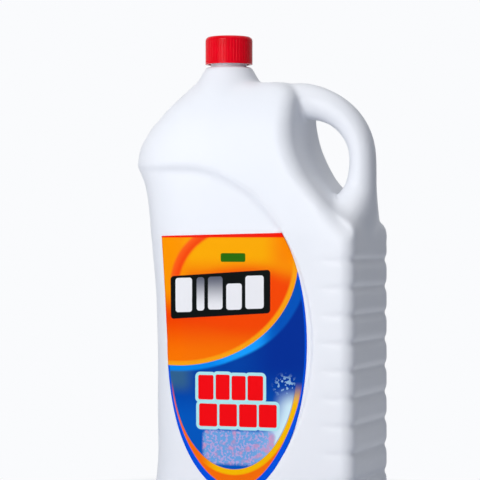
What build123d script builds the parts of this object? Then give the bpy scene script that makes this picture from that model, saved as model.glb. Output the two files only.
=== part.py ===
"""Five litre bleach jug: a blow-moulded bottle with a handle, and its two-piece screw closure."""
from build123d import *
from math import cos, pi, sin
import os

# All lengths are in millimetres. X runs towards the handle, -Y is the label face and Z is up.
# The origin is under the middle of the bottle, on the surface that it stands on.

# Bottle body
BODY_DEPTH = 110.0
SHOULDER_REACH = 76.0         # from the neck axis to the shoulder's bulge over the label end
LABEL_END_REACH = 57.8        # from the neck axis to the flat of the label end
HANDLE_REACH = 130.0          # from the neck axis to the handle's outer edge
HANDLE_END_REACH = 126.4      # from the neck axis to the handle end under it
LABEL_END_RADIUS = 44.0
HANDLE_END_RADIUS = 12.0
POCKET_RADIUS = 14.0
BOTTOM_ROUND = 9.0
HEEL_HEIGHT = 12.0
STRAIGHT_HEIGHT = 130.0       # the label end is upright up to here
SHELF_HEIGHT = 230.0          # all sides but the label end are upright up to here
BULGE_HEIGHT = 293.0
SHOULDER_HEIGHT = 358.5
POCKET_REACH = 68.0           # from the neck axis to the wall behind the hand
WALL = 1.1

# Label panel, sunk in front, back and label end under an arch
PANEL_SINK = 4.0
ARCH_OFFSET = 28.0            # the arch's middle, from the neck axis towards the label end
ARCH_HALF_WIDTH = 120.0
ARCH_CENTRE_HEIGHT = 140.0
ARCH_RISE = 146.0

# Grip grooves round the handle end
GROOVE_COUNT = 9
GROOVE_FIRST_HEIGHT = 29.1
GROOVE_PITCH = 22.4
GROOVE_RADIUS = 5.0
GROOVE_DEPTH = 2.2
GROOVE_LEG = 36.0

# Base
DISH_MARGIN = 16.0
DISH_HEIGHT = 3.0
DISH_DRAFT = 4.0
DISH_CORNER_RADIUS = 6.0

# Label film
LABEL_THICKNESS = 0.35
LABEL_CLEARANCE = 0.05
LABEL_TOP_HEIGHT = 229.0
LABEL_WIDEST_HEIGHT = 140.0
LABEL_TIP_HEIGHT = 20.0
LABEL_LEFT_REACH = 34.0       # from the neck axis towards the label end, where the label is widest
LABEL_LEAN = 6.5              # how much further its top left corner reaches
LABEL_TIP_OFFSET = 23.5       # from the neck axis towards the handle
LABEL_ARCH_LIFT = 2.0
LABEL_EDGE_MARGIN = 4.0       # between the label and the arch at the side
LABEL_TOP_MARGIN = 6.0        # and above and below

# Neck finish
PLATFORM_RISE = 13.5          # from the shoulder's top up to the platform
PLATFORM_RADIUS = 19.3
NECK_FOOT_RADIUS = 36.0
NECK_FOOT_DROP = 15.5         # from the shoulder's top down to where the foot starts
NECK_FOOT_SKIRT = 7.0         # how far the foot reaches down into the shoulder
FINISH_RADIUS = 14.9
FINISH_HEIGHT = 18.4
BORE_RADIUS = 12.7
RIM_ROUND = 0.6
BEAD_RADIUS = 16.3
BEAD_START = 2.6
BEAD_HEIGHT = 1.6
BEAD_ROUND = 0.6

# Closure
LINER_THICKNESS = 1.2
INNER_CAP_RADIUS = 18.3
INNER_CAP_WALL = 1.3
INNER_CAP_TOP = 1.4
INNER_CAP_CHAMFER = 0.7
LINER_CLEARANCE = 0.4
OUTER_CAP_RADIUS = 20.0
OUTER_CAP_WALL = 1.3
OUTER_CAP_TOP = 1.4
OUTER_CAP_DOME = 1.0
OUTER_CAP_EDGE_ROUND = 3.4
CAP_GAP = 3.0                 # between the two caps' tops, for the lugs and the push travel
PRESS_TRAVEL = 1.5
PRESS_CLEARANCE = 0.5
LUG_COUNT = 8
LUG_HEIGHT = 1.2
LUG_WIDTH = 2.4
LUG_ROOT = 0.7                # how deep a lug is let into its cap's top
LUG_INNER_RADIUS = 8.0
LUG_OUTER_RADIUS = 14.5
SNAP_CLEARANCE = 0.3
SNAP_BEAD_HEIGHT = 1.1
SNAP_BEAD_REACH = 0.75
KNURL_COUNT = 48
KNURL_RADIUS = 0.7
KNURL_DEPTH = 0.2
KNURL_FOOT = 1.6

# One overrun serves all cuts
OVERRUN = 5.0

# Shapes of the outlines, as shares of the sizes above
# Label end over the bulge: share of the rise to the shoulder, share of the bulge's reach
SHOULDER_SHARES = ((0, 1), (0.1, 0.988), (0.2, 0.955), (0.3, 0.908), (0.4, 0.85), (0.5, 0.78), (0.6, 0.703),
                   (0.7, 0.62), (0.8, 0.533), (0.9, 0.443), (1, 0.355))
# Label end under the bulge: share of the drop to the upright part, share of the overhang
UNDERCUT_SHARES = ((0, 1), (0.04, 0.99), (0.09, 0.8), (0.135, 0.66), (0.227, 0.49), (0.355, 0.37),
                   (0.466, 0.27), (0.73, 0.07), (1, 0))
# Pocket behind the handle: share of the rise from shelf to shoulder, share of the pocket's width
POCKET_SHARES = ((0, 1), (0.012, 1), (0.033, 0.985), (0.054, 0.95), (0.086, 0.87), (0.148, 0.695),
                 (0.23, 0.505), (0.288, 0.393), (0.345, 0.288), (0.405, 0.205), (0.506, 0.102), (0.6, 0.036),
                 (0.7, 0.005), (0.78, 0), (0.86, 0), (0.92, -0.05), (0.97, -0.15), (1, -0.3))
# Handle: reach and height as shares of the handle's reach and the shoulder height,
# then the half thickness and the half width as shares of half the body's depth
HANDLE_SHARES = ((0.3, 0.945, 0.28, 0.45), (0.49, 0.952, 0.28, 0.36), (0.63, 0.944, 0.256, 0.29),
                 (0.765, 0.92, 0.226, 0.264), (0.858, 0.883, 0.211, 0.255), (0.905, 0.84, 0.2, 0.253),
                 (0.9115, 0.793, 0.205, 0.255), (0.896, 0.745, 0.245, 0.275), (0.848, 0.7, 0.355, 0.38),
                 (0.757, 0.655, 0.54, 0.62), (0.71, 0.61, 0.6, 0.8), (0.7, 0.57, 0.6, 0.85))
# Neck foot: share of the way in from foot to platform, share of the way up
NECK_FOOT_SHARES = ((0, 0), (0.33, 0.36), (0.56, 0.56), (0.77, 0.75), (0.9, 0.89))
# Heights of the body's sections, as shares of each stretch
LOWER_SECTION_SHARES = (0, 0.16, 0.32, 0.46, 0.58, 0.68, 0.77, 0.85, 0.93, 1)
UPPER_SECTION_SHARES = (0.03, 0.055, 0.08, 0.11, 0.15, 0.19, 0.24, 0.29, 0.35, 0.41, 0.48, 0.505,
                        0.55, 0.61, 0.67, 0.73, 0.79, 0.84, 0.885, 0.93, 0.963, 0.988)
ROUNDEST_SHARE = 0.8
SINK_RAMP_SHARE = 0.2
LEAN_SHARE = 0.18             # how much front and back lean in by the top
DOME_SQUARENESS = 3.5
HALF_SHARE = 0.5

NECK_X = (SHOULDER_REACH - HANDLE_REACH) / 2
HALF_DEPTH = BODY_DEPTH / 2
PLATFORM_HEIGHT = SHOULDER_HEIGHT + PLATFORM_RISE
NECK_FOOT_HEIGHT = SHOULDER_HEIGHT - NECK_FOOT_DROP
RIM_HEIGHT = PLATFORM_HEIGHT + FINISH_HEIGHT


def follow(table, at):
    """Value of a smooth curve through a table's points, with no overshoot between them."""
    if at <= table[0][0]:
        return table[0][1]
    if at >= table[-1][0]:
        return table[-1][1]
    slopes = [(b[1] - a[1]) / (b[0] - a[0]) for a, b in zip(table, table[1:])]
    bends = [0 if s * t <= 0 else 2 * s * t / (s + t) for s, t in zip(slopes, slopes[1:])]
    bends = [slopes[0]] + bends + [slopes[-1]]
    i = max(k for k in range(len(table) - 1) if table[k][0] <= at)
    (a, start), (b, end) = table[i], table[i + 1]
    run = b - a
    t = (at - a) / run
    level = (1 + 2 * t) * (1 - t) ** 2 * start + t ** 2 * (3 - 2 * t) * end
    return level + run * (t * (1 - t) ** 2 * bends[i] + t ** 2 * (t - 1) * bends[i + 1])


def label_end(z, sunk):
    """X of the label end at height z, on the sunk panel or outside it."""
    if z >= BULGE_HEIGHT:
        rise = (z - BULGE_HEIGHT) / (SHOULDER_HEIGHT - BULGE_HEIGHT)
        return NECK_X - SHOULDER_REACH * follow(SHOULDER_SHARES, rise)
    drop = (BULGE_HEIGHT - z) / (BULGE_HEIGHT - STRAIGHT_HEIGHT)
    reach = LABEL_END_REACH + (SHOULDER_REACH - LABEL_END_REACH) * follow(UNDERCUT_SHARES, drop)
    if not sunk:
        reach += PANEL_SINK * min(1, drop / SINK_RAMP_SHARE)
    return NECK_X - reach


def handle_end(z):
    """X of the handle end at height z, which is the pocket's wall above the shelf."""
    rise = (z - SHELF_HEIGHT) / (SHOULDER_HEIGHT - SHELF_HEIGHT)
    reach = POCKET_REACH + (HANDLE_END_REACH - POCKET_REACH) * follow(POCKET_SHARES, rise)
    return NECK_X + reach


def half_depth(z):
    """Half the body's depth at height z."""
    rise = max(0, (z - SHELF_HEIGHT) / (SHOULDER_HEIGHT - SHELF_HEIGHT))
    dome = (1 - rise ** DOME_SQUARENESS) ** (1 / DOME_SQUARENESS)
    return HALF_DEPTH * (1 - LEAN_SHARE * rise) * dome


def corner_radii(z):
    """Corner radii of the section at height z, at the label end and at the handle end."""
    turn = min(1, max(0, (z - SHELF_HEIGHT) / (BULGE_HEIGHT - SHELF_HEIGHT)))
    return LABEL_END_RADIUS, HANDLE_END_RADIUS + (POCKET_RADIUS - HANDLE_END_RADIUS) * turn


def outline(left, right, depth, left_radius, right_radius, level):
    """Face of a rectangle with rounded corners, rounder at one end than at the other."""
    corners = ((right - right_radius, depth - right_radius, right_radius, 0),
               (left + left_radius, depth - left_radius, left_radius, 1),
               (left + left_radius, left_radius - depth, left_radius, 2),
               (right - right_radius, right_radius - depth, right_radius, 3))
    arcs = []
    for x, y, radius, quarter in corners:
        angles = [(quarter + share) * pi / 2 for share in (0, HALF_SHARE, 1)]
        arcs.append(ThreePointArc(*[(x + radius * cos(a), y + radius * sin(a), level) for a in angles]))
    edges = []
    for arc, following in zip(arcs, arcs[1:] + arcs[:1]):
        edges += [arc, Line(arc @ 1, following @ 0)]
    return Face(Wire(edges))


def body_section(z, inset, sunk):
    """The body's section at height z, drawn in by inset all round and lifted or lowered to match."""
    depth = half_depth(z) - inset - (PANEL_SINK if sunk else 0)
    sharpest = min(DISH_CORNER_RADIUS, depth * ROUNDEST_SHARE)
    radii = [min(max(radius - inset, sharpest), depth * ROUNDEST_SHARE) for radius in corner_radii(z)]
    level = inset + z * (SHOULDER_HEIGHT - 2 * inset) / SHOULDER_HEIGHT
    return outline(label_end(z, sunk) + inset, handle_end(z) - inset, depth, *radii, level)


def section_heights(bottom, top):
    """Heights at which the body's sections are drawn, from bottom to top."""
    heights = [SHELF_HEIGHT * share for share in LOWER_SECTION_SHARES]
    heights += [SHELF_HEIGHT + (SHOULDER_HEIGHT - SHELF_HEIGHT) * s for s in UPPER_SECTION_SHARES]
    return [z for z in heights if bottom <= z <= top]


def lower_form(inset):
    """The upright lower body over the heel, with the grip grooves."""
    top = body_section(SHELF_HEIGHT, inset, False)
    block = extrude(top, HEEL_HEIGHT - inset - top.center().Z)
    return block - grip_grooves(inset)


def heel_form(inset):
    """The full band round the foot of the bottle, with its rounded bottom edge."""
    left = NECK_X - LABEL_END_REACH - PANEL_SINK + inset
    right = NECK_X + HANDLE_END_REACH - inset
    radii = LABEL_END_RADIUS - inset, HANDLE_END_RADIUS - inset
    foot = outline(left, right, HALF_DEPTH - inset, *radii, inset)
    band = extrude(foot, HEEL_HEIGHT - 2 * inset)
    return fillet(band.edges().group_by(Axis.Z)[0], BOTTOM_ROUND - inset)


def upper_form(inset):
    """The shoulder and the pocket's wall, above the shelf."""
    return loft([body_section(z, inset, False) for z in section_heights(SHELF_HEIGHT, SHOULDER_HEIGHT)])


def panel_form(inset):
    """The body as it is on the sunk label panel, up to above the arch."""
    return loft([body_section(z, inset, True) for z in section_heights(0, BULGE_HEIGHT + OVERRUN)])


def arch_region(grow):
    """Everything under the arch and over the heel, right through the bottle from front to back."""
    middle = NECK_X - ARCH_OFFSET
    floor = HEEL_HEIGHT - grow
    height = ARCH_CENTRE_HEIGHT + ARCH_RISE + grow - floor
    arch = Location((middle, ARCH_CENTRE_HEIGHT)) * Ellipse(ARCH_HALF_WIDTH + grow, ARCH_RISE + grow)
    side = Location((middle, floor)) * Rectangle(
        SHOULDER_REACH + OVERRUN, height, align=(Align.MAX, Align.MIN))
    over = Location((middle, floor)) * Rectangle(
        2 * (ARCH_HALF_WIDTH + OVERRUN), height + OVERRUN, align=(Align.CENTER, Align.MIN))
    return extrude(Plane.XZ * ((arch & over) + side), BODY_DEPTH, both=True)


def handle_form(inset):
    """The hollow grip, from the shoulder round to the handle end."""
    middles = [Vector(NECK_X + HANDLE_REACH * s[0], 0, SHOULDER_HEIGHT * s[1]) for s in HANDLE_SHARES]
    faces = []
    for i, share in enumerate(HANDLE_SHARES):
        ahead = middles[min(i + 1, len(middles) - 1)]
        behind = middles[max(i - 1, 0)]
        plane = Plane(origin=middles[i], x_dir=Vector(0, 1, 0), z_dir=ahead - behind)
        faces.append(plane * Ellipse(HALF_DEPTH * share[3] - inset, HALF_DEPTH * share[2] - inset))
    return loft(faces)


def neck_foot(inset):
    """The round shoulder that carries the neck finish."""
    width = NECK_FOOT_RADIUS - PLATFORM_RADIUS
    rise = PLATFORM_HEIGHT - NECK_FOOT_HEIGHT
    curve = [(NECK_FOOT_RADIUS - width * a - inset, NECK_FOOT_HEIGHT + rise * b - inset)
             for a, b in NECK_FOOT_SHARES]
    curve.append((PLATFORM_RADIUS - inset, PLATFORM_HEIGHT - inset))
    side = Spline(*curve)
    bottom = NECK_FOOT_HEIGHT - NECK_FOOT_SKIRT - inset
    rest = Polyline(side @ 1, (0, PLATFORM_HEIGHT - inset), (0, bottom),
                    (NECK_FOOT_RADIUS - inset, bottom), side @ 0)
    profile = make_face(side + rest)
    return Pos(NECK_X, 0, 0) * revolve(Plane.XZ * profile, Axis.Z)


def groove(height, grow):
    """One grip groove, from the front round the handle end to the back, running out at both ends."""
    stand_off = GROOVE_RADIUS - GROOVE_DEPTH
    end_x = NECK_X + HANDLE_END_REACH + stand_off
    face_y = HALF_DEPTH + stand_off
    far_y = HALF_DEPTH + GROOVE_RADIUS
    corner = HANDLE_END_RADIUS + stand_off
    far_x = end_x - GROOVE_LEG
    route = FilletPolyline((far_x, -far_y, height), (end_x, -face_y, height), (end_x, face_y, height),
                           (far_x, far_y, height), radius=corner)
    start = Plane(origin=route @ 0, z_dir=route % 0)
    return sweep(start * Circle(GROOVE_RADIUS + grow), path=route)


def grip_grooves(grow):
    """All the grip grooves, evenly spaced up the handle end."""
    return [groove(GROOVE_FIRST_HEIGHT + i * GROOVE_PITCH, grow) for i in range(GROOVE_COUNT)]


def base_dish(grow):
    """The shallow hollow under the bottle that leaves a ring to stand on."""
    low = body_section(BOTTOM_ROUND, DISH_MARGIN - grow, True)
    high = body_section(BOTTOM_ROUND, DISH_MARGIN + DISH_DRAFT - grow, True)
    low = Pos(0, 0, -low.center().Z - (OVERRUN if grow == 0 else 0)) * low
    high = Pos(0, 0, DISH_HEIGHT + grow - high.center().Z) * high
    return loft([low, high])


def blown_form(inset):
    """The bottle's skin as a filled form, drawn in by inset."""
    form = lower_form(inset) + upper_form(inset)
    form += handle_form(inset)
    form += neck_foot(inset)
    form -= arch_region(inset) - panel_form(inset)
    form += heel_form(inset)
    return form - base_dish(inset)


def finish_form():
    """The neck finish above the platform, with its bead and its bore."""
    column = Cylinder(FINISH_RADIUS, FINISH_HEIGHT + WALL, align=(Align.CENTER, Align.CENTER, Align.MAX))
    column = fillet(column.edges().group_by(Axis.Z)[-1], RIM_ROUND)
    bead = Cylinder(BEAD_RADIUS, BEAD_HEIGHT, align=(Align.CENTER, Align.CENTER, Align.MIN))
    bead = fillet(bead.edges(), BEAD_ROUND)
    place = Pos(NECK_X, 0, RIM_HEIGHT)
    return place * column + Pos(NECK_X, 0, PLATFORM_HEIGHT + BEAD_START) * bead


def make_bottle():
    """The whole bottle: skin, hollow handle, neck finish and open mouth."""
    skin = blown_form(0) + finish_form()
    bore = Pos(NECK_X, 0, RIM_HEIGHT + OVERRUN) * Cylinder(
        BORE_RADIUS, FINISH_HEIGHT + 2 * OVERRUN, align=(Align.CENTER, Align.CENTER, Align.MAX))
    return skin - blown_form(WALL) - bore


def label_outline():
    """The label's outline: flat top, leaning left side, right side that follows the arch, and a tip."""
    left_x = NECK_X - LABEL_LEFT_REACH
    tip_x = NECK_X + LABEL_TIP_OFFSET
    drop = LABEL_WIDEST_HEIGHT - LABEL_TIP_HEIGHT
    far_x = NECK_X + HANDLE_END_REACH
    arch = Location((NECK_X - ARCH_OFFSET, ARCH_CENTRE_HEIGHT + LABEL_ARCH_LIFT)) * Ellipse(
        ARCH_HALF_WIDTH - LABEL_EDGE_MARGIN, ARCH_RISE - LABEL_TOP_MARGIN)
    upper = make_face(Polyline(
        (left_x, LABEL_WIDEST_HEIGHT), (left_x - LABEL_LEAN, LABEL_TOP_HEIGHT), (far_x, LABEL_TOP_HEIGHT),
        (far_x, LABEL_TIP_HEIGHT), (tip_x, LABEL_TIP_HEIGHT), (tip_x, LABEL_WIDEST_HEIGHT), close=True))
    round_foot = Location((tip_x, LABEL_WIDEST_HEIGHT)) * Ellipse(tip_x - left_x, drop)
    lower_left = Location((tip_x, LABEL_WIDEST_HEIGHT)) * Rectangle(
        tip_x - left_x, drop, align=(Align.MAX, Align.MAX))
    return arch & (upper + (round_foot & lower_left))


def make_label():
    """The front label, a film that lies on the sunk panel and follows its curve."""
    film = extrude(Plane.XZ * label_outline(), BODY_DEPTH)
    return (film & panel_form(-LABEL_THICKNESS - LABEL_CLEARANCE)) - panel_form(-LABEL_CLEARANCE)


def turned(radius, bottom, top):
    """A plain round blank on the neck's axis, from one height to another."""
    return Pos(NECK_X, 0, bottom) * Cylinder(
        radius, top - bottom, align=(Align.CENTER, Align.CENTER, Align.MIN))


LINER_TOP = RIM_HEIGHT + LINER_THICKNESS
INNER_TOP = LINER_TOP + INNER_CAP_TOP
OUTER_CEILING = INNER_TOP + CAP_GAP
OUTER_TOP = OUTER_CEILING + OUTER_CAP_TOP
OUTER_BOTTOM = PLATFORM_HEIGHT + PRESS_TRAVEL + PRESS_CLEARANCE
INNER_BOTTOM = OUTER_BOTTOM + SNAP_BEAD_HEIGHT + SNAP_CLEARANCE
LINER_RADIUS = INNER_CAP_RADIUS - INNER_CAP_WALL - LINER_CLEARANCE


def make_liner():
    """The sealing wad between the rim and the inner cap."""
    return turned(LINER_RADIUS, RIM_HEIGHT, LINER_TOP)


def lug_ring(bottom, top, phase_share):
    """Drive lugs in a ring, as a list of blocks that point at the axis."""
    pitch = 360 / LUG_COUNT
    length = LUG_OUTER_RADIUS - LUG_INNER_RADIUS
    lug = Pos(LUG_INNER_RADIUS, 0, bottom) * Box(
        length, LUG_WIDTH, top - bottom, align=(Align.MIN, Align.CENTER, Align.MIN))
    return [Pos(NECK_X, 0, 0) * Rot(0, 0, pitch * (i + phase_share)) * lug for i in range(LUG_COUNT)]


def make_inner_cap():
    """The inner cap, which screws on the neck and carries the lower lugs."""
    cap = turned(INNER_CAP_RADIUS, INNER_BOTTOM, INNER_TOP)
    cap = chamfer(cap.edges().group_by(Axis.Z)[-1], INNER_CAP_CHAMFER)
    cap -= turned(INNER_CAP_RADIUS - INNER_CAP_WALL, INNER_BOTTOM - OVERRUN, LINER_TOP)
    return cap + lug_ring(INNER_TOP - LUG_ROOT, INNER_TOP + LUG_HEIGHT, 0)


def outer_cap_shell():
    """The outer cap's domed shell with its rounded top edge."""
    radius = OUTER_CAP_RADIUS
    edge = OUTER_TOP - OUTER_CAP_EDGE_ROUND
    shoulder = radius - OUTER_CAP_EDGE_ROUND
    dome = ThreePointArc((-shoulder, OUTER_TOP), (0, OUTER_TOP + OUTER_CAP_DOME), (shoulder, OUTER_TOP))
    dome = dome.trim(HALF_SHARE, 1)
    corner = RadiusArc((shoulder, OUTER_TOP), (radius, edge), OUTER_CAP_EDGE_ROUND)
    rest = Polyline((radius, edge), (radius, OUTER_BOTTOM), (0, OUTER_BOTTOM), dome @ 0)
    return Pos(NECK_X, 0, 0) * revolve(Plane.XZ * make_face(dome + corner + rest), Axis.Z)


def knurl_cuts():
    """The fine upright flutes round the outer cap."""
    flute = turned(KNURL_RADIUS, OUTER_BOTTOM + KNURL_FOOT, OUTER_TOP - OUTER_CAP_EDGE_ROUND)
    out = OUTER_CAP_RADIUS + KNURL_RADIUS - KNURL_DEPTH
    pitch = 360 / KNURL_COUNT
    return [Pos(NECK_X, 0, 0) * Rot(0, 0, pitch * i) * Pos(out - NECK_X, 0, 0) * flute
            for i in range(KNURL_COUNT)]


def make_outer_cap():
    """The outer cap, which turns freely until it is pushed down on the inner cap's lugs."""
    cap = outer_cap_shell() - knurl_cuts()
    wall_radius = OUTER_CAP_RADIUS - OUTER_CAP_WALL
    bead_top = OUTER_BOTTOM + SNAP_BEAD_HEIGHT
    cap -= turned(wall_radius, bead_top, OUTER_CEILING)
    cap -= turned(INNER_CAP_RADIUS - SNAP_BEAD_REACH, OUTER_BOTTOM - OVERRUN, bead_top)
    return cap + lug_ring(OUTER_CEILING - LUG_HEIGHT, OUTER_CEILING + LUG_ROOT, HALF_SHARE)


MAKERS = {"bottle": make_bottle, "front_label": make_label, "cap_liner": make_liner,
          "inner_cap": make_inner_cap, "outer_cap": make_outer_cap}

os.makedirs("parts", exist_ok=True)
for name, make in MAKERS.items():
    export_step(make(), "parts/" + name + ".step")
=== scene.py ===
"""A white bleach jug with a red screw cap and a printed front label, on a pale studio floor."""

import math

import bmesh
import bpy
import numpy as np
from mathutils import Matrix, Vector
from mathutils.bvhtree import BVHTree


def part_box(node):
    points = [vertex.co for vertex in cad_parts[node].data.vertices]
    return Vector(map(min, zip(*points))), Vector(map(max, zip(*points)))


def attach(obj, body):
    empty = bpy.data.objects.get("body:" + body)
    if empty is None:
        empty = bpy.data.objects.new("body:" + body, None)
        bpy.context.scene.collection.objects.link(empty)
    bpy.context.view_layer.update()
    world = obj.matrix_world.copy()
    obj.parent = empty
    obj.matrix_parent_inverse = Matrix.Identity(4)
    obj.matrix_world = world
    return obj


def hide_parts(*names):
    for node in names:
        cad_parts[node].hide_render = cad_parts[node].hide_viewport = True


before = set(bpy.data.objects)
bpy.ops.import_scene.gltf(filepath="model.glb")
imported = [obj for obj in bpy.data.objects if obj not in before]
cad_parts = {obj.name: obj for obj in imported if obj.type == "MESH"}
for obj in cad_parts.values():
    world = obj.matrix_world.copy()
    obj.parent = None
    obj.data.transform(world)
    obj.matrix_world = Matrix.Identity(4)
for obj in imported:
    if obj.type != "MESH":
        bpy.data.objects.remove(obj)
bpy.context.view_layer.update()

# A millimetre in metres, and a metre in millimetres
MM = 0.001
MM_PER_METRE = 1000

# Places read from the frame, in metres
LINER_LOW, LINER_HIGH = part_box("cap_liner")
INNER_CAP_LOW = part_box("inner_cap")[0]
BODY_LOW, BODY_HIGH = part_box("bottle")
NECK = Vector(((LINER_LOW.x + LINER_HIGH.x) / 2, 0, 0))
RIM_Z = BODY_HIGH.z

# Heights known from the CAD source: the neck finish over its platform, and the shelf under the handle
FINISH_HEIGHT = 18.4 * MM
PLATFORM_Z = RIM_Z - FINISH_HEIGHT
SHELF_Z = 230 * MM

# Neck finish, radii from the neck axis and heights over the platform
BORE_RADIUS = 12.7 * MM
FINISH_RADIUS = 14.9 * MM
FINISH_ROOT = 4 * MM
NECK_FILLET = 0.8 * MM
NECK_FILLET_MIDDLE = 0.75 * MM
BEAD_RADIUS = 16.3 * MM
BEAD_MIDDLE = 3.4 * MM
BEAD_HALF_HEIGHT = 0.8 * MM
BEAD_SHOULDER = 0.3 * MM
RIM_ROUND = 0.8 * MM
TURN_STEPS = 96

# Mouth, depths under the rim and heights over it
BORE_DEPTH = 27 * MM
MOUTH_FLARE = 0.35 * MM
MOUTH_DEPTH = 0.5 * MM
MOUTH_TOP = 0.1 * MM
PLUG_TOP = 2 * MM

# Telling the CAD's neck from the skins: merging distance, two margins, and most Z of an upright normal
WELD = 1e-6
PLATFORM_MARGIN = 0.02 * MM
BORE_MARGIN = 0.05 * MM
UPRIGHT = 0.1

# Thread, the bottle's ridge and the inner cap's
THREAD_PITCH = 4.2 * MM
THREAD_TURNS = 1.5
THREAD_WIDTH = 2.2 * MM
THREAD_START = 7 * MM
THREAD_ROOT = FINISH_RADIUS - 0.4 * MM
THREAD_CREST = 15.95 * MM
CAP_THREAD_ROOT = 17.05 * MM
CAP_THREAD_CREST = 16.25 * MM
CAP_THREAD_START = 5.2 * MM
# Share of the run that an end tapers over, and the share of height and width left at its tip
THREAD_TAPER = 0.09
THREAD_TIP_HEIGHT = 0.06
THREAD_TIP_WIDTH = 0.35
# The ridge's section: share of the way from root to crest, and share of the half width
THREAD_SECTION = ((0, -1), (1, -0.3), (1, 0.3), (0, 1))

# Label film, its outline in millimetres from the neck axis and the floor
LABEL_MIDDLE = (24.5, 140.5)
LABEL_HALF = (61.9, 124.5)
LABEL_HALF_ABOVE = 117.0
LABEL_LEAN = 0.0565
LABEL_TOP = 228.4
LABEL_TOP_SLANT = 2.4
LABEL_ROWS = 60
LABEL_COLUMNS = 80
FILM_PROUD = 0.35 * MM
FILM_THICKNESS = 0.5 * MM
FILM_ROUNDS = 12
FILM_FEEL = 1.2 * MM

# Skin: grid sizes, and rounds of smoothing
SKIN_VOXEL = 1.95 * MM
CAVITY_VOXEL = 3.6 * MM
CAVITY_SHRINK = 0.45 * MM
CAVITY_ROUNDS = 3
CAVITY_SMOOTHING = 0.4
SMOOTHING = 0.5
CREASE_ROUNDS = 6
FIRM_ROUNDS = 2
BLEND_ROUNDS = 29

# Handle's foot and shelf corners: share of widening, and how far they move
FOOT_SPREAD = 0.95
FOOT_REACH = 2.6 * MM
FOOT_GUARD = 3 * MM
CORNER_DROOP = 7 * MM

# Where each change sets in and ends, over the distance out from the neck axis, to the side, and in height
FOOT_OUT = (96 * MM, 108 * MM)
FOOT_END = (106 * MM, 122 * MM)
FOOT_SIDE = (14 * MM, 52 * MM)
FOOT_LOW = (SHELF_Z - 2 * MM, SHELF_Z + 8 * MM)
FOOT_HIGH = (SHELF_Z + 8 * MM, SHELF_Z + 44 * MM)
CORNER_OUT = (96 * MM, 116 * MM)
CORNER_SIDE = (22 * MM, 50 * MM)
CORNER_LOW = (SHELF_Z - 16 * MM, SHELF_Z + 6 * MM)
CORNER_HIGH = (SHELF_Z + 16 * MM, SHELF_Z + 40 * MM)
GUARD_OUT = (86 * MM, 98 * MM)
GUARD_LOW = (SHELF_Z - 24 * MM, SHELF_Z - 10 * MM)
GUARD_HIGH = (SHELF_Z + 26 * MM, SHELF_Z + 44 * MM)
FIRM_OUT = (52 * MM, 66 * MM)
BLEND_OUT = (92 * MM, 104 * MM)
BLEND_LOW = (SHELF_Z - 12 * MM, SHELF_Z - 2 * MM)
BLEND_HIGH = (SHELF_Z + 22 * MM, SHELF_Z + 40 * MM)
NECK_OUT = (40 * MM, 50 * MM)
NECK_LOW = (326 * MM, 334 * MM)
NECK_HIGH = (350 * MM, 360 * MM)


def mesh_arrays(mesh):
    """A mesh's points and the two ends of each of its edges, as arrays."""
    points = np.zeros(len(mesh.vertices) * 3)
    mesh.vertices.foreach_get("co", points)
    ends = np.zeros(len(mesh.edges) * 2, dtype=np.int64)
    mesh.edges.foreach_get("vertices", ends)
    return points.reshape(-1, 3), ends.reshape(-1, 2)


def write_points(mesh, points):
    """Puts moved points back into a mesh."""
    mesh.vertices.foreach_set("co", points.ravel())
    mesh.update()


def relax(points, ends, strength):
    """One round of smoothing: each point moves towards the middle of its neighbours."""
    a, b = ends.T
    size = len(points)
    count = np.bincount(a, minlength=size) + np.bincount(b, minlength=size)
    middle = np.empty_like(points)
    for axis in range(3):
        values = points[:, axis]
        middle[:, axis] = np.bincount(a, values[b], size) + np.bincount(b, values[a], size)
    middle /= np.maximum(count, 1)[:, None]
    return points + strength[:, None] * (middle - points)


def ramp(values, low, high):
    """0 below low, 1 above high, and smooth between."""
    t = np.clip((values - low) / (high - low), 0, 1)
    return t * t * (3 - 2 * t)


def fade(values, low, high):
    """1 below low, 0 above high, and smooth between."""
    return 1 - ramp(values, low, high)


def new_object(name, mesh):
    """An object for a mesh, in the scene."""
    obj = bpy.data.objects.new(name, mesh)
    bpy.context.scene.collection.objects.link(obj)
    return obj


def shape_object(name, shape):
    """An object for a shape that was built face by face, which is then given up."""
    mesh = bpy.data.meshes.new(name)
    shape.to_mesh(mesh)
    shape.free()
    return new_object(name, mesh)


def apply_modifiers(obj):
    """Replaces an object's mesh by what its modifiers make of it."""
    graph = bpy.context.evaluated_depsgraph_get()
    result = bpy.data.meshes.new_from_object(obj.evaluated_get(graph))
    obj.modifiers.clear()
    obj.data = result


def combine(obj, other, operation):
    """Joins a closed mesh with another or cuts it by the other, which is then deleted."""
    modifier = obj.modifiers.new("combine", "BOOLEAN")
    modifier.operation = operation
    modifier.solver = "MANIFOLD"
    modifier.object = other
    apply_modifiers(obj)
    bpy.data.objects.remove(other)


def remesh(obj, voxel):
    """Covers a closed shape with an even grid of small faces."""
    modifier = obj.modifiers.new("remesh", "REMESH")
    modifier.mode = "VOXEL"
    modifier.voxel_size = voxel
    apply_modifiers(obj)


def close_holes(shape):
    """Fills every open edge loop of a shape."""
    edges = [e for e in shape.edges if e.is_boundary]
    bmesh.ops.holes_fill(shape, edges=edges, sides=0)
    bmesh.ops.recalc_face_normals(shape, faces=shape.faces)


def in_old_neck(face):
    """Whether a face is part of the CAD's neck: over the platform, or the upright wall of the bore."""
    middle = face.calc_center_median()
    radius = math.hypot(middle.x - NECK.x, middle.y)
    over_platform = middle.z > PLATFORM_Z + PLATFORM_MARGIN
    in_bore = radius < BORE_RADIUS + BORE_MARGIN and middle.z > PLATFORM_Z - BORE_DEPTH / 2
    return over_platform or (in_bore and abs(face.normal.z) < UPRIGHT)


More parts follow.
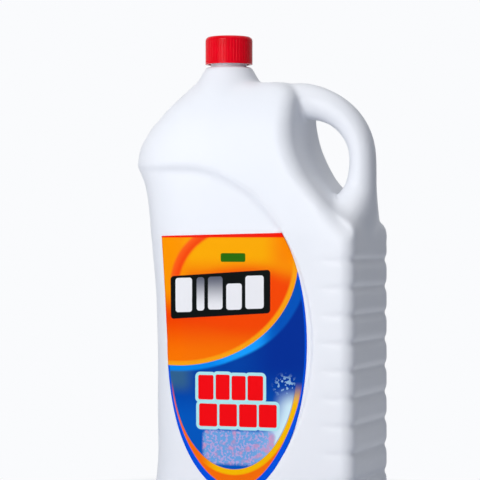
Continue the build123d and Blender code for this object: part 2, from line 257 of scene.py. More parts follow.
def connected(start):
    """All the points that edges join to one point, itself among them."""
    found = {start}
    front = [start]
    while front:
        vert = front.pop()
        for edge in vert.link_edges:
            other = edge.other_vert(vert)
            if other not in found:
                found.add(other)
                front.append(other)
    return found


def split_skins(source):
    """The outer and the inner skin of the bottle, each closed off at the neck, as two objects."""
    shape = bmesh.new()
    shape.from_mesh(source.data)
    bmesh.ops.remove_doubles(shape, verts=shape.verts, dist=WELD)
    neck = [face for face in shape.faces if in_old_neck(face)]
    bmesh.ops.delete(shape, geom=neck, context="FACES")
    outer = connected(min(shape.verts, key=lambda v: v.co.z))
    is_outer = [v in outer for v in shape.verts]
    skins = []
    for name, part, wanted in (("bottle_skin", shape, True), ("cavity", shape.copy(), False)):
        others = [v for v, flag in zip(part.verts, is_outer) if flag != wanted]
        bmesh.ops.delete(part, geom=others, context="VERTS")
        loose = [v for v in part.verts if not v.link_faces]
        bmesh.ops.delete(part, geom=loose, context="VERTS")
        close_holes(part)
        skins.append(shape_object(name, part))
    return skins


def flare_foot(points):
    """Fans the handle's foot out over the shelf, and lets the shelf's two corners droop beside it."""
    x, y, z = points.T
    out = x - NECK.x
    side = abs(y)
    foot = ramp(out, *FOOT_OUT) * ramp(z, *FOOT_LOW) * fade(z, *FOOT_HIGH)
    y *= 1 + FOOT_SPREAD * foot * fade(side, *FOOT_SIDE)
    x += FOOT_REACH * foot * ramp(out, *FOOT_END)
    corner = ramp(side, *CORNER_SIDE) * ramp(out, *CORNER_OUT)
    corner *= ramp(z, *CORNER_LOW) * fade(z, *CORNER_HIGH)
    z -= CORNER_DROOP * corner


def soften_skin(skin):
    """Rounds the outer skin: soft creases, a firm handle end, and wide blends at foot and neck."""
    points, ends = mesh_arrays(skin.data)
    flare_foot(points)
    x, y, z = points.T
    out = x - NECK.x
    firm = ramp(out, *FIRM_OUT)
    foot_blend = ramp(out, *BLEND_OUT) * ramp(z, *BLEND_LOW) * fade(z, *BLEND_HIGH)
    neck_blend = fade(np.hypot(out, y), *NECK_OUT) * ramp(z, *NECK_LOW) * fade(z, *NECK_HIGH)
    blend = np.maximum(foot_blend, neck_blend)
    for i in range(BLEND_ROUNDS):
        strength = blend * SMOOTHING
        if i < CREASE_ROUNDS:
            strength = np.maximum(strength, SMOOTHING * (1 - firm))
        if i < FIRM_ROUNDS:
            strength = np.full(len(points), SMOOTHING)
        points = relax(points, ends, strength)
    write_points(skin.data, np.clip(points, BODY_LOW, BODY_HIGH))


def shrink_cavity(cavity):
    """Draws the inner skin in along its normals, most at the handle's foot, and fans that foot out too."""
    mesh = cavity.data
    normals = np.zeros(len(mesh.vertices) * 3)
    mesh.vertices.foreach_get("normal", normals)
    points, ends = mesh_arrays(mesh)
    x, _, z = points.T
    foot = ramp(x - NECK.x, *GUARD_OUT) * ramp(z, *GUARD_LOW) * fade(z, *GUARD_HIGH)
    points -= normals.reshape(-1, 3) * (CAVITY_SHRINK + FOOT_GUARD * foot)[:, None]
    flare_foot(points)
    for i in range(CAVITY_ROUNDS):
        points = relax(points, ends, np.full(len(points), CAVITY_SMOOTHING))
    write_points(mesh, points)


def about_neck(radius, angle, height):
    """The place at a radius and an angle about the neck axis."""
    return (NECK.x + radius * math.cos(angle), radius * math.sin(angle), height)


def turned_shape(name, profile):
    """A closed round shape about the neck axis: (radius, height) points that run from axis to axis."""
    shape = bmesh.new()
    rings = []
    for radius, height in profile[1:-1]:
        angles = [2 * math.pi * i / TURN_STEPS for i in range(TURN_STEPS)]
        rings.append([shape.verts.new(about_neck(radius, angle, height)) for angle in angles])
    for low, high in zip(rings, rings[1:]):
        for i in range(TURN_STEPS):
            j = (i + 1) % TURN_STEPS
            shape.faces.new((low[i], low[j], high[j], high[i]))
    for ring, end in ((rings[0], profile[0]), (rings[-1], profile[-1])):
        tip = shape.verts.new((NECK.x, 0, end[1]))
        for i in range(TURN_STEPS):
            shape.faces.new((ring[i], ring[(i + 1) % TURN_STEPS], tip))
    bmesh.ops.recalc_face_normals(shape, faces=shape.faces)
    return shape_object(name, shape)


def arc_points(centre, radius, start, end, steps):
    """Points on an arc in the (radius, height) plane, angles in degrees."""
    angles = [math.radians(start + (end - start) * i / steps) for i in range(steps + 1)]
    return [(centre[0] + radius * math.cos(a), centre[1] + radius * math.sin(a)) for a in angles]


def finish_column():
    """The neck finish as a solid column with its fillet, bead and rounded rim."""
    base = PLATFORM_Z - FINISH_ROOT
    bead_z = PLATFORM_Z + BEAD_MIDDLE
    fillet = (FINISH_RADIUS + NECK_FILLET, PLATFORM_Z + NECK_FILLET_MIDDLE)
    bead = (BEAD_RADIUS - BEAD_HALF_HEIGHT, bead_z)
    rim = (FINISH_RADIUS - RIM_ROUND, RIM_Z - RIM_ROUND)
    profile = [(0, base), (FINISH_RADIUS, base)]
    profile += arc_points(fillet, NECK_FILLET, start=230, end=180, steps=4)
    profile += arc_points(bead, BEAD_HALF_HEIGHT, start=-90, end=90, steps=8)
    profile += [(FINISH_RADIUS, bead_z + BEAD_HALF_HEIGHT + BEAD_SHOULDER)]
    profile += arc_points(rim, RIM_ROUND, start=0, end=90, steps=6)
    profile += [(0, RIM_Z)]
    return turned_shape("finish", profile)


def bore_plug():
    """The space inside the neck, flared a little at the rim."""
    foot = PLATFORM_Z - BORE_DEPTH / 3
    mouth = BORE_RADIUS + MOUTH_FLARE
    top = RIM_Z + PLUG_TOP
    profile = [(0, foot), (BORE_RADIUS, foot), (BORE_RADIUS, RIM_Z - MOUTH_DEPTH)]
    profile += [(mouth, RIM_Z + MOUTH_TOP), (mouth, top), (0, top)]
    return turned_shape("bore", profile)


def thread_section(shape, root, crest, start_z, share):
    """The four points of a thread's ridge at a share of its run."""
    angle = 2 * math.pi * THREAD_TURNS * share
    from_end = np.array(min(share, 1 - share))
    taper = float(ramp(from_end, 0.0, THREAD_TAPER)) * (1 - THREAD_TIP_HEIGHT) + THREAD_TIP_HEIGHT
    width = THREAD_TIP_WIDTH + (1 - THREAD_TIP_WIDTH) * taper
    height = start_z + THREAD_PITCH * THREAD_TURNS * share
    section = []
    for along, up in THREAD_SECTION:
        radius = root + (crest - root) * along * taper
        z = height + up * THREAD_WIDTH / 2 * width
        section.append(shape.verts.new(about_neck(radius, angle, z)))
    return section


def thread_ridge(name, root, crest, start_z):
    """A helical ridge of thread between two radii, tapering away at both ends."""
    shape = bmesh.new()
    steps = int(TURN_STEPS * THREAD_TURNS)
    sections = [thread_section(shape, root, crest, start_z, i / steps) for i in range(steps + 1)]
    for a, b in zip(sections, sections[1:]):
        for i in range(4):
            j = (i + 1) % 4
            shape.faces.new((a[i], a[j], b[j], b[i]))
    shape.faces.new(sections[0])
    shape.faces.new(sections[-1])
    bmesh.ops.recalc_face_normals(shape, faces=shape.faces)
    return shape_object(name, shape)


def make_bottle():
    """The bottle as one hollow skin with its neck finish and thread."""
    skin, cavity = split_skins(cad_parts["bottle"])
    remesh(skin, SKIN_VOXEL)
    soften_skin(skin)
    remesh(cavity, CAVITY_VOXEL)
    shrink_cavity(cavity)
    combine(skin, finish_column(), "UNION")
    combine(skin, thread_ridge("ridge", THREAD_ROOT, THREAD_CREST, PLATFORM_Z + THREAD_START), "UNION")
    combine(cavity, bore_plug(), "UNION")
    combine(skin, cavity, "DIFFERENCE")
    skin.name = "bottle_skin"
    skin.data.shade_smooth()
    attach(skin, "bottle_body")
    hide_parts("bottle")
    return skin


def make_cap_thread():
    """The inner cap's own thread, inside its skirt."""
    start_z = INNER_CAP_LOW.z + CAP_THREAD_START
    thread = thread_ridge("inner_cap_thread", CAP_THREAD_ROOT, CAP_THREAD_CREST, start_z)
    thread.data.shade_smooth()
    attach(thread, "inner_cap_body")
    return thread


def label_row(z):
    """The label's left and right edge at a height: an oval, straight and leaning at the upper left."""
    middle, half_width = LABEL_MIDDLE[0], LABEL_HALF[0]
    above = z - LABEL_MIDDLE[1]
    half_height = LABEL_HALF_ABOVE if above > 0 else LABEL_HALF[1]
    reach = half_width * math.sqrt(max(0.0, 1 - (above / half_height) ** 2))
    left = middle - half_width - above * LABEL_LEAN if above > 0 else middle - reach
    return left, middle + reach


def label_heights():
    """The heights of the label's rows, in millimetres, closer together towards its foot."""
    middle = LABEL_MIDDLE[1]
    angles = [math.pi / 2 * (i + 0.5) / LABEL_ROWS for i in range(LABEL_ROWS)]
    step = (LABEL_TOP - middle) / LABEL_ROWS
    below = [middle - LABEL_HALF[1] * math.cos(angle) for angle in angles]
    return below + [middle + step * i for i in range(LABEL_ROWS + 1)]


def front_of(tree, x, z):
    """The foremost Y of the jug's front around a place."""
    hits = []
    for across, up in ((0, 0), (FILM_FEEL, 0), (-FILM_FEEL, 0), (0, FILM_FEEL), (0, -FILM_FEEL)):
        start = Vector((x + across, BODY_LOW.y * 2, z + up))
        hits.append(tree.ray_cast(start, Vector((0, 1, 0)))[0].y)
    return min(hits)


def label_places(jug):
    """Points for the film, row by row, a little in front of the jug."""
    tree = BVHTree.FromPolygons([v.co for v in jug.data.vertices], [p.vertices for p in jug.data.polygons])
    places = []
    for height in label_heights():
        left, right = label_row(height)
        climb = max(0.0, (height - LABEL_MIDDLE[1]) / (LABEL_TOP - LABEL_MIDDLE[1]))
        for i in range(LABEL_COLUMNS + 1):
            share = i / LABEL_COLUMNS
            x = NECK.x + (left + (right - left) * share) * MM
            z = (height + LABEL_TOP_SLANT * share * climb) * MM
            places.append((x, front_of(tree, x, z) - FILM_PROUD, z))
    return places


def grid_faces(count, columns):
    """Four-sided faces between a number of points that stand in rows."""
    faces = []
    for i in range(count - columns):
        if (i + 1) % columns:
            faces.append((i, i + 1, i + columns + 1, i + columns))
    return faces


def settle_film(mesh):
    """Evens the film out in depth, back by half of FILM_PROUD at most, and keeps it in the body's box."""
    points, ends = mesh_arrays(mesh)
    even = points
    for i in range(FILM_ROUNDS):
        even = relax(even, ends, np.full(len(points), SMOOTHING))
    points[:, 1] = np.maximum(np.minimum(even[:, 1], points[:, 1] + FILM_PROUD / 2), BODY_LOW.y)
    write_points(mesh, points)


def make_label(jug):
    """The printed film, laid on the jug's front with the outline that the print has."""
    places = label_places(jug)
    mesh = bpy.data.meshes.new("front_film")
    mesh.from_pydata(places, [], grid_faces(len(places), LABEL_COLUMNS + 1))
    settle_film(mesh)
    film = new_object("front_film", mesh)
    modifier = film.modifiers.new("thickness", "SOLIDIFY")
    modifier.thickness = FILM_THICKNESS
    modifier.offset = -1
    apply_modifiers(film)
    film.data.shade_smooth()
    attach(film, "bottle_body")
    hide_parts("front_label")
    return film


class Field:
    """A number that varies over a surface, built from maths nodes with plain operators."""

    def __init__(self, tree, socket):
        self.tree = tree
        self.socket = socket

    def joined(self, operation, *others):
        """This number put through a maths node with others."""
        node = self.tree.nodes.new("ShaderNodeMath")
        node.operation = operation
        for slot, value in enumerate((self, *others)):
            if isinstance(value, Field):
                self.tree.links.new(value.socket, node.inputs[slot])
            else:
                node.inputs[slot].default_value = value
        return Field(self.tree, node.outputs[0])

    def __add__(self, other):
        return self.joined("ADD", other)

    def __sub__(self, other):
        return self.joined("SUBTRACT", other)

    def __mul__(self, other):
        return self.joined("MULTIPLY", other)

    def __truediv__(self, other):
        return self.joined("DIVIDE", other)

    def size(self):
        """This number without its sign."""
        return self.joined("ABSOLUTE")

    def least(self, other):
        """The smaller of two."""
        return self.joined("MINIMUM", other)

    def most(self, other):
        """The larger of two."""
        return self.joined("MAXIMUM", other)

    def root(self):
        """Square root."""
        return self.joined("SQRT")

    def rise(self, low, high):
        """0 below low, 1 above high, and smooth between."""
        node = self.tree.nodes.new("ShaderNodeMapRange")
        node.interpolation_type = "SMOOTHSTEP"
        node.inputs["From Min"].default_value = low
        node.inputs["From Max"].default_value = high
        self.tree.links.new(self.socket, node.inputs["Value"])
        return Field(self.tree, node.outputs["Result"])

    def fall(self, low, high):
        """1 below low, 0 above high, and smooth between."""
        return (self.rise(low, high) * -1) + 1


# The usual rule for screen colours: under a limit a plain share, over it a power curve
SCREEN_LIMIT = 0.04045
SCREEN_SHARE = 12.92
SCREEN_OFFSET = 0.055
SCREEN_POWER = 2.4


def linear_value(value):
    """One channel of a screen colour, 0 to 255, as linear light."""
    share = value / 255
    if share <= SCREEN_LIMIT:
        return share / SCREEN_SHARE
    return ((share + SCREEN_OFFSET) / (1 + SCREEN_OFFSET)) ** SCREEN_POWER


def linear(red, green, blue):
    """A screen colour, 0 to 255 each, as the shader's linear colour."""
    return (linear_value(red), linear_value(green), linear_value(blue), 1)


def new_material(name, roughness, **sockets):
    """A plastic material with its shader's fixed numbers set, its node tree and its shader."""
    material = bpy.data.materials.new(name)
    material.use_nodes = True
    tree = material.node_tree
    shader = tree.nodes["Principled BSDF"]
    shader.inputs["Roughness"].default_value = roughness
    for socket, value in sockets.items():
        shader.inputs[socket.replace("_", " ")].default_value = value
    return material, tree, shader


def object_place(tree):
    """X, Y and Z over the surface, in millimetres."""
    place = tree.nodes.new("ShaderNodeTexCoord")
    parts = tree.nodes.new("ShaderNodeSeparateXYZ")
    tree.links.new(place.outputs["Object"], parts.inputs[0])
    return [Field(tree, socket) * MM_PER_METRE for socket in parts.outputs]


def noise(tree, scale, detail=2.0, stretch=(1, 1, 1)):
    """Soft random variation over the surface."""
    place = tree.nodes.new("ShaderNodeTexCoord")
    mapping = tree.nodes.new("ShaderNodeMapping")
    mapping.inputs["Scale"].default_value = stretch
    node = tree.nodes.new("ShaderNodeTexNoise")
    node.inputs["Scale"].default_value = scale
    node.inputs["Detail"].default_value = detail
    tree.links.new(place.outputs["Object"], mapping.inputs["Vector"])
    tree.links.new(mapping.outputs["Vector"], node.inputs["Vector"])
    return Field(tree, node.outputs["Fac"])


def painted(tree, under, colour, mask):
    """A colour laid over what is under it, where the mask is 1."""
    node = tree.nodes.new("ShaderNodeMix")
    node.data_type = "RGBA"
    tree.links.new(mask.socket, node.inputs["Factor"])
    for slot, value in ((node.inputs[6], under), (node.inputs[7], colour)):
        if isinstance(value, tuple):
            slot.default_value = value
        else:
            tree.links.new(value, slot)
    return node.outputs[2]


def bump(tree, shader, height, strength, distance):
    """Small relief on a shader from a height field."""
    node = tree.nodes.new("ShaderNodeBump")
    node.inputs["Strength"].default_value = strength
    node.inputs["Distance"].default_value = distance
    tree.links.new(height.socket, node.inputs["Height"])
    tree.links.new(node.outputs["Normal"], shader.inputs["Normal"])


def rounded_bar(x, z, middle, half, corner, lean=0.0):
    """Distance in millimetres outside a bar with rounded corners that may lean."""
    across = (x - middle[0]).size() - (half[0] - corner)
    up = ((z - middle[1]) - (x - middle[0]) * lean).size() - (half[1] - corner)
    outside_x = across.most(0)
    outside_z = up.most(0)
    return (outside_x * outside_x + outside_z * outside_z).root() + across.most(up).least(0) - corner


def oval(x, z, middle, half):
    """Share of the way from an oval's middle to its edge, 1 on the edge."""
    across = (x - middle[0]) / half[0]
    up = (z - middle[1]) / half[1]
    return (across * across + up * up).root()


# Two shades of each plastic, mixed by its noise or its cells
JUG_WHITES = (linear(238, 241, 247), linear(244, 246, 251))
CAP_REDS = (linear(222, 0, 20), linear(234, 0, 28))
INNER_CAP_WHITES = (linear(236, 238, 240), linear(242, 243, 244))
LINER_WHITES = (linear(226, 226, 220), linear(240, 240, 236))


def jug_material():
    """White blow-moulded polyethylene: satin, faintly uneven, with the mould's parting line."""
    material, tree, shader = new_material(
        "white polyethylene", roughness=0.42, Specular_IOR_Level=0.25,
        Subsurface_Weight=0.12, Subsurface_Scale=0.004, Subsurface_Radius=(1.0, 1.0, 1.0))
    cloud = noise(tree, scale=9.0, detail=3.0, stretch=(1, 1, 0.35)).rise(0.35, 0.65)
    colour = painted(tree, *JUG_WHITES, cloud)
    tree.links.new(colour, shader.inputs["Base Color"])
    depth_place = object_place(tree)[1]
    seam = depth_place.size().fall(0.18, 0.42) * 0.5
    grain = noise(tree, scale=900.0) * 0.035
    waves = noise(tree, scale=26.0, detail=1.0, stretch=(1, 1, 0.4)) * 0.5
    bump(tree, shader, seam + grain + waves, strength=0.35, distance=0.0004)
    return material


def label_material():
    """The printed film: an orange field over a blue one, rimmed below, with a plate and plain blocks."""
    material, tree, shader = new_material("printed film", roughness=0.4, Specular_IOR_Level=0.03)
    x, _, z = object_place(tree)
    tree.links.new(label_colours(tree, x - NECK.x / MM, z), shader.inputs["Base Color"])
    bump(tree, shader, noise(tree, scale=60.0, detail=1.0), strength=0.08, distance=0.0005)
    return material


# Label print, in millimetres from the neck axis and the floor: middles and half sizes of ovals and bars
DIVIDER_MIDDLE = (-28.0, 209.0)
DIVIDER_HALF = (107.2, 88.3)
CRESCENT_MIDDLE = (22.5, 122.0)
CRESCENT_HALF = (55.5, 86.0)
HEAT_MIDDLE = (34.0, 176.0)
HEAT_HALF = (60.0, 34.0)
SWOOSH_MIDDLE = (27.1, 185.0)
SWOOSH_HALF = (57.0, 52.0)
PLATE_MIDDLE = (10.6, 180.0)
PLATE_HALF = (44.4, 17.8)
PLATE_LEAN = 0.066
PLATE_CORNER = 3.0
TAG_MIDDLE = (22.5, 210.6)
TAG_HALF = (10.8, 3.6)
TAG_CORNER = 1.4
FINE_MIDDLE = (27.5, 54.0)
FINE_HALF = (32.0, 14.5)
FINE_CORNER = 5.0
SPRAY_MIDDLE = (68.0, 106.0)
SPRAY_HALF = (13.0, 12.0)

# Plain blocks of print: middle across, half width, height of the middle, half height
PLATE_BLOCKS = (
    (-21.3, 7.6, 179.4, 14.2),
    (-6.2, 3.4, 180.4, 13.8),
    (6.9, 6.4, 181.2, 13.6),
    (23.4, 6.8, 178.4, 10.8),
    (41.3, 8.0, 182.2, 13.6),
)
PLATE_BLOCK_CORNER = 2.4
RED_BLOCKS = (
    (-1.4, 6.8, 103.2, 10.2),
    (13.4, 6.2, 103.6, 10.4),
    (27.4, 6.2, 103.2, 10.0),
    (42.0, 6.8, 103.4, 10.2),
    (0.6, 8.0, 80.4, 9.4),
    (18.2, 7.8, 80.6, 9.2),
    (35.6, 7.8, 80.6, 9.4),
    (52.8, 7.8, 80.8, 9.4),
)
RED_BLOCK_CORNER = 1.6

# Part of the plate whose blocks darken upwards, the pale ring round red blocks, and how sharp print is
SHADED_SPAN = (-11.0, 15.0)
HALO = 2.6
PRINT_EDGE = 0.25

# Print widths: the amber line over the divider and its fade, the sky stripe under it and its soft edge
AMBER_LINE = (2.4, 4.8)
STRIPE_WIDTH = 4.4
STRIPE_WIDENING = 3
STRIPE_EDGE = 1.4
# The blue rim: its width at the top, and its gain further down, once at the left and twice at the right
RIM_WIDTH = 1.7
RIM_GAIN = 2.1
# Depth that is added where the rim has ended, more than any band is wide
RIM_ENDED = 90

# Colours of the print
ORANGE = linear(255, 118, 0)
RED_ORANGE = linear(246, 64, 0)
AMBER = linear(255, 172, 0)
LEFT_AMBER = linear(255, 150, 0)
RIGHT_AMBER = linear(255, 138, 0)
HEAT_RED = linear(250, 72, 0)
SWOOSH_DEEP = linear(250, 72, 12)
SWOOSH_BRIGHT = linear(255, 98, 26)
AMBER_LINE_COLOUR = linear(255, 164, 18)
TOP_LINE_RED = linear(248, 26, 8)
BLUE = linear(0, 66, 164)
CLEAR_BLUE = linear(0, 88, 190)
GREY_BLUE = linear(50, 98, 142)
NAVY = linear(0, 48, 150)
SKY = linear(0, 138, 240)
BRIGHT_SKY = linear(22, 160, 255)
DEEP_SKY = linear(0, 84, 186)
CRESCENT_ORANGE = linear(255, 112, 8)
CRESCENT_RED = linear(226, 58, 60)
CRESCENT_YELLOW = linear(255, 190, 0)
RIM_BLUE = linear(0, 84, 226)
SHINE_PALE = linear(214, 242, 252)
SPRAY_PALE = linear(170, 214, 240)
HALO_PALE = linear(178, 236, 240)
BLOCK_RED = linear(250, 8, 18)
PLATE_BLACK = linear(8, 14, 14)
BLOCK_WHITE = linear(238, 238, 241)
BLOCK_SHADE = linear(92, 96, 112)
TAG_GREEN = linear(40, 108, 10)
FINE_BLUE = linear(118, 176, 232)
FINE_LILAC = linear(196, 170, 224)
FINE_PINK = linear(236, 140, 170)


def oval_depth(x, z, middle, half):
    """Distance in millimetres inside an oval's edge, near that edge."""
    share = oval(x, z, middle, half)
    across = (x - middle[0]) / half[0] ** 2
    up = (z - middle[1]) / half[1] ** 2
    return (share * -1 + 1) * share / (across * across + up * up).root()


def block_distance(x, z, blocks, corner, lean=0.0):
    """Distance in millimetres outside the nearest of several blocks."""
    nearest = None
    for middle, half_width, height, half_height in blocks:
        block = rounded_bar(x, z, (middle, height), (half_width, half_height), corner, lean)
        nearest = block if nearest is None else nearest.least(block)
    return nearest


def orange_field(tree, x, z, depth):
    """The upper field: orange to amber, red in the middle and along the top, with a swoosh at the left."""
    top = z.rise(184, 214)
    left = x.fall(-26, -12) * z.rise(160, 186)
    top_right = x.rise(46, 68) * top
    colour = painted(tree, ORANGE, RED_ORANGE, z.rise(126, 164))
    colour = painted(tree, colour, AMBER, top)
    colour = painted(tree, colour, LEFT_AMBER, left)
    colour = painted(tree, colour, RIGHT_AMBER, top_right)
    heat = oval(x, z, HEAT_MIDDLE, HEAT_HALF).fall(0.5, 1.0)
    colour = painted(tree, colour, HEAT_RED, heat)
    ring = oval(x, z, SWOOSH_MIDDLE, SWOOSH_HALF)
    swoosh = ring.rise(0.9, 0.96) * ring.fall(1.05, 1.11) * x.fall(0, 10) * z.rise(182, 198)
    swoosh_colour = painted(tree, SWOOSH_DEEP, SWOOSH_BRIGHT, ring.rise(0.96, 1.08))
    colour = painted(tree, colour, swoosh_colour, swoosh)
    colour = painted(tree, colour, AMBER_LINE_COLOUR, depth.fall(*AMBER_LINE))
    top_line = z.rise(226.6, 227.6)
    return painted(tree, colour, TOP_LINE_RED, top_line)


def blue_field(tree, x, z, depth):
    """The lower field: a sky stripe under the divider, blue under it, navy right and greyed left."""
    grey = x.fall(-24, -8) * z.rise(94, 108)
    navy = x.rise(24, 60) * z.rise(98, 124)
    colour = painted(tree, BLUE, CLEAR_BLUE, z.fall(74, 108))
    colour = painted(tree, colour, GREY_BLUE, grey)
    colour = painted(tree, colour, NAVY, navy)
    width = x.rise(17, 71) * STRIPE_WIDENING + STRIPE_WIDTH
    stripe = (depth + width).rise(-STRIPE_EDGE, STRIPE_EDGE)
    bright = x.rise(0, 26) * x.fall(44, 60)
    stripe_colour = painted(tree, SKY, BRIGHT_SKY, bright)
    stripe_colour = painted(tree, stripe_colour, DEEP_SKY, x.rise(40, 64))
    return painted(tree, colour, stripe_colour, stripe)


def rim_bands(tree, colour, x, z):
    """The lower field with its amber crescent and strong blue rim, and the depth inside the crescent."""
    ended = x.fall(-10, 26) * z.rise(126, 142)
    edge = oval_depth(x, z, LABEL_MIDDLE, LABEL_HALF) + ended * RIM_ENDED
    width = z.fall(34, 112) * (x.rise(-30, 20) * RIM_GAIN + RIM_GAIN) + RIM_WIDTH
    rim = (edge - width).fall(-0.5, 0.4)
    inside = oval_depth(x, z, CRESCENT_MIDDLE, CRESCENT_HALF)
    reddened = z.rise(88, 108) * x.fall(20, 40)
    yellow = inside.rise(-5.4, -3.4) * x.rise(-8, 10)
    amber = painted(tree, CRESCENT_ORANGE, CRESCENT_RED, reddened)
    amber = painted(tree, amber, CRESCENT_YELLOW, yellow)
    colour = painted(tree, colour, amber, inside.fall(-0.3, 0.5) * z.fall(90, 110))
    return painted(tree, colour, RIM_BLUE, rim), inside


def label_colours(tree, x, z):
    """All the label's print as one colour."""
    reach = (x - DIVIDER_MIDDLE[0]).most(0) / DIVIDER_HALF[0]
    drop = (z - DIVIDER_MIDDLE[1]).least(0) / DIVIDER_HALF[1]
    depth = ((reach * reach + drop * drop).root() * -1 + 1) * DIVIDER_HALF[1]
    orange = plate_print(tree, orange_field(tree, x, z, depth), x, z)
    blue, crescent_depth = rim_bands(tree, blue_field(tree, x, z, depth), x, z)
    inside = crescent_depth.rise(-0.2, 1.0)
    shine = crescent_depth.fall(1, 19) * x.rise(36, 56) * z.rise(34, 50) * z.fall(88, 106)
    blue = painted(tree, blue, SHINE_PALE, shine * inside)
    blue = spray_print(tree, blue, x, z, inside)
    blue = fine_patch(tree, blue, x, z, inside)
    blocks = block_distance(x, z, RED_BLOCKS, RED_BLOCK_CORNER)
    blue = painted(tree, blue, HALO_PALE, printed(blocks - HALO) * inside)
    blue = painted(tree, blue, BLOCK_RED, printed(blocks))
    return painted(tree, blue, orange, depth.rise(-PRINT_EDGE, PRINT_EDGE))


def printed(distance):
    """1 inside a form of print, 0 outside it, from the distance outside its edge."""
    return distance.fall(-PRINT_EDGE, PRINT_EDGE)


def spray_print(tree, colour, x, z, inside):
    """Pale speckle in an oval at the right."""
    speck = noise(tree, scale=420.0, detail=1.0).rise(0.54, 0.62)
    near = oval(x, z, SPRAY_MIDDLE, SPRAY_HALF).fall(0.3, 1.0)
    return painted(tree, colour, SPRAY_PALE, speck * near * inside * 0.7)


def plate_print(tree, colour, x, z):
    """A dark plate with a row of plain pale blocks, and a small green tag over it."""
    plate = rounded_bar(x, z, PLATE_MIDDLE, PLATE_HALF, PLATE_CORNER, PLATE_LEAN)
    colour = painted(tree, colour, PLATE_BLACK, printed(plate))
    blocks = block_distance(x, z, PLATE_BLOCKS, PLATE_BLOCK_CORNER, PLATE_LEAN / 2)
    left, right = SHADED_SPAN
    shade = x.rise(left, left + 1) * x.fall(right - 1, right) * z.rise(168, 196)
    pale = painted(tree, BLOCK_WHITE, BLOCK_SHADE, shade)
    colour = painted(tree, colour, pale, printed(blocks))
    tag = rounded_bar(x, z, TAG_MIDDLE, TAG_HALF, TAG_CORNER)
    return painted(tree, colour, TAG_GREEN, printed(tag))


def fine_patch(tree, colour, x, z, inside):
    """A pale speckled patch near the label's foot."""
    patch = rounded_bar(x, z, FINE_MIDDLE, FINE_HALF, FINE_CORNER).fall(-2.5, 1.0) * inside
    speck = noise(tree, scale=520.0, detail=1.0).rise(0.5, 0.6) * patch
    blush = noise(tree, scale=120.0, detail=1.0).rise(0.55, 0.7) * patch
    colour = painted(tree, colour, FINE_BLUE, patch * 0.85)
    colour = painted(tree, colour, FINE_LILAC, speck * 0.8)
    return painted(tree, colour, FINE_PINK, blush * 0.5)


def cap_material():
    """Glossy red polypropylene with a faint moulded texture."""
    material, tree, shader = new_material("red cap", roughness=0.2, Specular_IOR_Level=0.07)
    cloud = noise(tree, scale=40.0).rise(0.4, 0.6)
    colour = painted(tree, *CAP_REDS, cloud)
    tree.links.new(colour, shader.inputs["Base Color"])
    bump(tree, shader, noise(tree, scale=500.0), strength=0.06, distance=0.0003)
    return material


def inner_cap_material():
    """White polypropylene, a little glossier than the jug."""
    material, tree, shader = new_material("white polypropylene", roughness=0.32, Specular_IOR_Level=0.5)
    cloud = noise(tree, scale=30.0).rise(0.4, 0.6)
    colour = painted(tree, *INNER_CAP_WHITES, cloud)
    tree.links.new(colour, shader.inputs["Base Color"])
    bump(tree, shader, noise(tree, scale=700.0), strength=0.05, distance=0.0002)
    return material


def liner_material():
    """Foamed polyethylene wad with fine open cells."""
    material, tree, shader = new_material("foam wad", roughness=0.8)
    cells = tree.nodes.new("ShaderNodeTexVoronoi")
    cells.inputs["Scale"].default_value = 1400.0
    place = tree.nodes.new("ShaderNodeTexCoord")
    tree.links.new(place.outputs["Object"], cells.inputs["Vector"])
    cell = Field(tree, cells.outputs["Distance"])
    colour = painted(tree, *LINER_WHITES, cell.rise(0.1, 0.7))
    tree.links.new(colour, shader.inputs["Base Color"])
    bump(tree, shader, cell, strength=0.3, distance=0.0002)
    return material


def dress(obj, material):
    """Gives an object one material."""
    obj.data.materials.clear()
    obj.data.materials.append(material)


# Studio: places and sizes in metres, lens and sensor in millimetres
VIEW_ANGLE = math.radians(20)
VIEW_DISTANCE = 1.785
VIEW_HEIGHT = 0.225
VIEW_SHIFT = 9.35 * MM
LENS = 157.5
SENSOR = 36.0
CLIP_END = 100
FLOOR_SIZE = 12.0
FLOOR_COLOUR = linear(224, 227, 233)
WORLD_COLOUR = linear(208, 217, 238)
WORLD_STRENGTH = 0.17
PAGE_WHITE = linear(250, 251, 253)
# Distance from the frame's origin, in millimetres, over which the floor turns to the page's white
FLOOR_FADE = (130, 250)
# Lamps: name, place, target, size in metres and power in watts
LAMPS = (
    ("key", (-0.33, -1.4, 0.8), (0, 0, 0.25), 0.8, 17.4),
    ("top", (0.1, 0.1, 1.5), (0, 0, 0.2), 0.9, 4.5),
)


def seen_ray(tree):
    """1 for what the camera, a reflection or a transmission sees."""
    path = tree.nodes.new("ShaderNodeLightPath")
    camera = Field(tree, path.outputs["Is Camera Ray"])
    glossy = Field(tree, path.outputs["Is Glossy Ray"])
    through = Field(tree, path.outputs["Is Transmission Ray"])
    return camera.most(glossy).most(through)


def mix_shaders(tree, mask, under, over, output):
    """Sends one shader to an output, and another where the mask is 1."""
    mix = tree.nodes.new("ShaderNodeMixShader")
    tree.links.new(mask.socket, mix.inputs[0])
    tree.links.new(under.outputs[0], mix.inputs[1])
    tree.links.new(over.outputs[0], mix.inputs[2])
    tree.links.new(mix.outputs[0], output.inputs["Surface"])


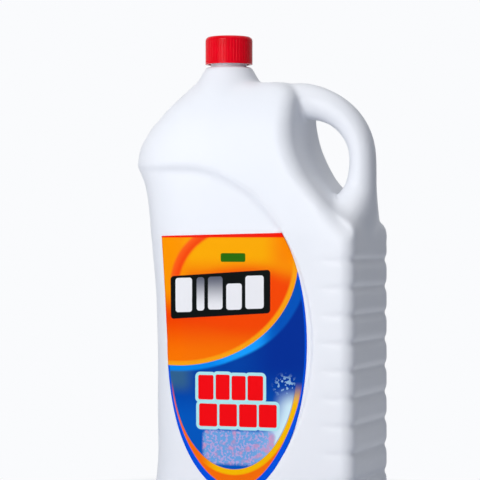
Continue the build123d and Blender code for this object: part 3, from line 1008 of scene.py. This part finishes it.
def make_floor():
    """A wide pale floor that keeps the object's shadow close by and fades to the page's white."""
    shape = bmesh.new()
    bmesh.ops.create_grid(shape, x_segments=8, y_segments=8, size=FLOOR_SIZE / 2)
    floor = shape_object("floor", shape)
    material, tree, shader = new_material("floor", roughness=0.9)
    shader.inputs["Base Color"].default_value = FLOOR_COLOUR
    x, y, _ = object_place(tree)
    far = (x * x + y * y).root().rise(*FLOOR_FADE)
    page = tree.nodes.new("ShaderNodeEmission")
    page.inputs["Color"].default_value = PAGE_WHITE
    mix_shaders(tree, seen_ray(tree) * far, shader, page, tree.nodes["Material Output"])
    dress(floor, material)


def make_world():
    """Even bluish-white surroundings, plain white where they are seen."""
    world = bpy.data.worlds.new("studio")
    bpy.context.scene.world = world
    world.use_nodes = True
    tree = world.node_tree
    light = tree.nodes["Background"]
    light.inputs["Color"].default_value = WORLD_COLOUR
    light.inputs["Strength"].default_value = WORLD_STRENGTH
    page = tree.nodes.new("ShaderNodeBackground")
    page.inputs["Color"].default_value = PAGE_WHITE
    mix_shaders(tree, seen_ray(tree), light, page, tree.nodes["World Output"])


def make_lamp(name, place, target, size, power):
    """A square soft light at a place, aimed at a target."""
    lamp = bpy.data.lights.new(name, "AREA")
    lamp.size = size
    lamp.energy = power
    obj = bpy.data.objects.new(name, lamp)
    bpy.context.scene.collection.objects.link(obj)
    obj.location = place
    obj.rotation_euler = (Vector(target) - Vector(place)).to_track_quat("-Z", "Y").to_euler()


def make_camera():
    """The camera at the photograph's angle, level with the middle of the jug."""
    across = Vector((math.cos(VIEW_ANGLE), math.sin(VIEW_ANGLE), 0))
    away = Vector((-math.sin(VIEW_ANGLE), math.cos(VIEW_ANGLE), 0))
    target = NECK + across * VIEW_SHIFT + Vector((0, 0, VIEW_HEIGHT))
    data = bpy.data.cameras.new("camera")
    data.lens = LENS
    data.sensor_width = SENSOR
    data.clip_end = CLIP_END
    camera = bpy.data.objects.new("camera", data)
    bpy.context.scene.collection.objects.link(camera)
    camera.location = target - away * VIEW_DISTANCE
    camera.rotation_euler = away.to_track_quat("-Z", "Y").to_euler()
    bpy.context.scene.camera = camera


make_camera()
make_world()
make_floor()
for lamp in LAMPS:
    make_lamp(*lamp)

jug = make_bottle()
cap_thread = make_cap_thread()
white_cap = inner_cap_material()
dress(jug, jug_material())
dress(cap_thread, white_cap)
dress(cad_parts["inner_cap"], white_cap)
dress(make_label(jug), label_material())
dress(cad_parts["outer_cap"], cap_material())
dress(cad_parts["cap_liner"], liner_material())
bpy.context.scene.view_settings.view_transform = "Standard"
